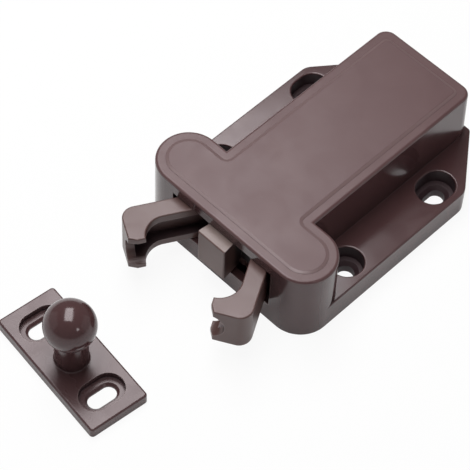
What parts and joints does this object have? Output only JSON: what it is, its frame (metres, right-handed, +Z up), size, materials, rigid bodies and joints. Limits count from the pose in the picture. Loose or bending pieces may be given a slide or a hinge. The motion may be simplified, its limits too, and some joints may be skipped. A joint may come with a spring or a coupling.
{
  "type": "cupboard catch latch",
  "caption": "Surface-mounted cupboard catch latch: a T-shaped plastic housing whose sprung slider carries hooked jaws that close on a separate ball strike when pushed.",
  "frame": {"origin": "base face of the housing, at the centre of its four screw holes", "axes": "+Z up from the base face, -Y the way the jaws open, +X to the right seen from behind the jaws"},
  "size_m": [0.0522, 0.1202, 0.0223],
  "materials": {
    "housing": "dark brown moulding, satin top and glossy flanges",
    "back_cover": "dark brown moulding, plain",
    "slider": "brown moulding, satin",
    "jaws": "brown moulding, satin",
    "jaw_pins": "ground steel pin",
    "return_spring": "drawn spring wire",
    "cam_follower": "bent steel wire",
    "strike": "dark brown moulding, glossy"
  },
  "bodies": {
    "base": {"housing": "housing", "back_cover": "back_cover", "strike": "strike", "return_spring": "return_spring"},
    "carriage": {"slider": "slider", "jaw_pin_left": "jaw_pins", "jaw_pin_right": "jaw_pins"},
    "left_jaw": {"jaw_left": "jaws"},
    "right_jaw": {"jaw_right": "jaws"},
    "follower": {"cam_follower": "cam_follower"}
  },
  "joints": [
    {"name": "slider_travel", "type": "slide", "parent": "base", "child": "carriage", "axis": [0, 1, 0], "range_m": [0, 0.012], "stiffness_N_per_m": 150, "springref_m": -0.01, "deforming": ["return_spring"]},
    {"name": "jaw_left_swing", "type": "hinge", "parent": "carriage", "child": "left_jaw", "pos_m": [-0.0034, -0.03, 0.012], "axis": [0, 0, 1], "range_deg": [0, 29.6]},
    {"name": "jaw_right_swing", "type": "hinge", "parent": "carriage", "child": "right_jaw", "pos_m": [0.0034, -0.03, 0.012], "axis": [0, 0, 1], "range_deg": [-29.6, 0]},
    {"name": "cam_follower_swing", "type": "hinge", "parent": "base", "child": "follower", "pos_m": [0, 0.01776, 0.003], "axis": [0, 0, 1], "range_deg": [0, 9.9]}
  ],
  "couplings": [
    {"joint": "jaw_left_swing", "follows": "slider_travel", "rad_per_m": 42.906},
    {"joint": "jaw_right_swing", "follows": "slider_travel", "rad_per_m": -42.906},
    {"joint": "cam_follower_swing", "follows": "slider_travel", "rad_per_m": 14.254}
  ]
}
